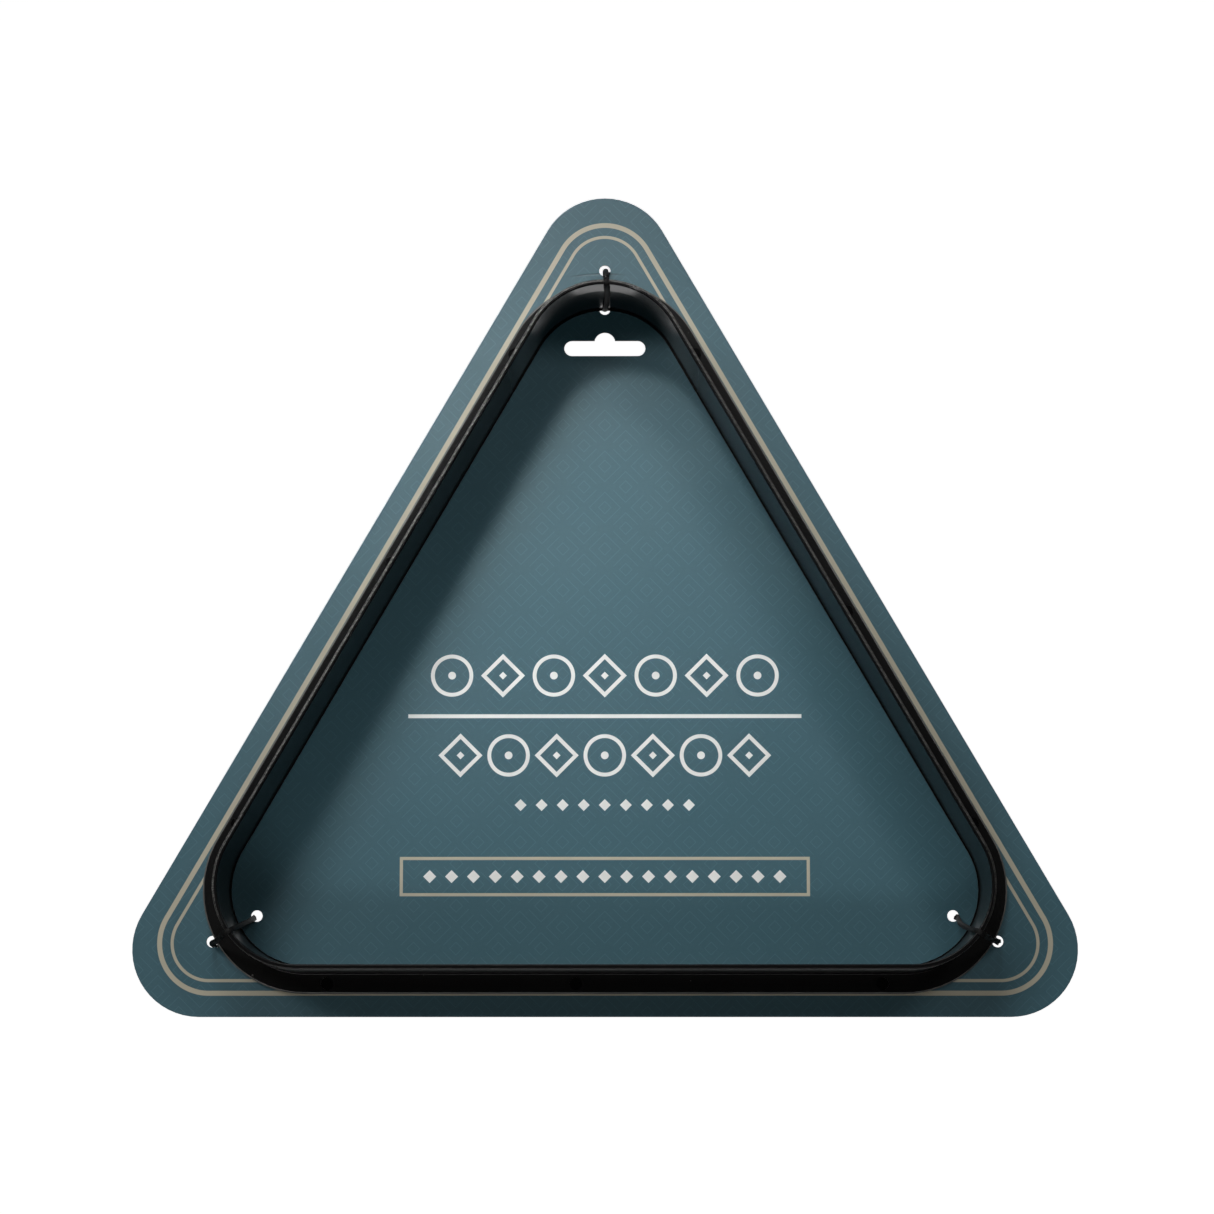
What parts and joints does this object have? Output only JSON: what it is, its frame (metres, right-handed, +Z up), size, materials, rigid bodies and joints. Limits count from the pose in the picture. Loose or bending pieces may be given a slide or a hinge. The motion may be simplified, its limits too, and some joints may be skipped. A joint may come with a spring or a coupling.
{
  "type": "triangle rack",
  "caption": "Black moulded triangle ball rack with an outward base flange, tied by black twist ties to a printed triangular hang card with a peg slot.",
  "frame": {"origin": "middle of the card's hang slot, on the back face of the card, where the display peg passes through", "axes": "hanging upright: +X to the right seen from the front, +Z up, +Y backwards through the card, so that the printed front and the rack face -Y"},
  "size_m": [0.3622, 0.0467, 0.3209],
  "materials": {
    "rack_plastic": "semi-gloss moulded black polypropylene with light scuffs",
    "printed_card": "coated board printed in teal with cream border lines, plain pale back",
    "tie_plastic": "satin black plastic strip",
    "tie_wire": "soft annealed steel wire"
  },
  "bodies": {
    "root": {"rack_frame": "rack_plastic", "backing_card": "printed_card", "top_tie": "tie_plastic", "left_tie": "tie_plastic", "right_tie": "tie_plastic", "top_tie_wire": "tie_wire", "left_tie_wire": "tie_wire", "right_tie_wire": "tie_wire"}
  },
  "joints": []
}
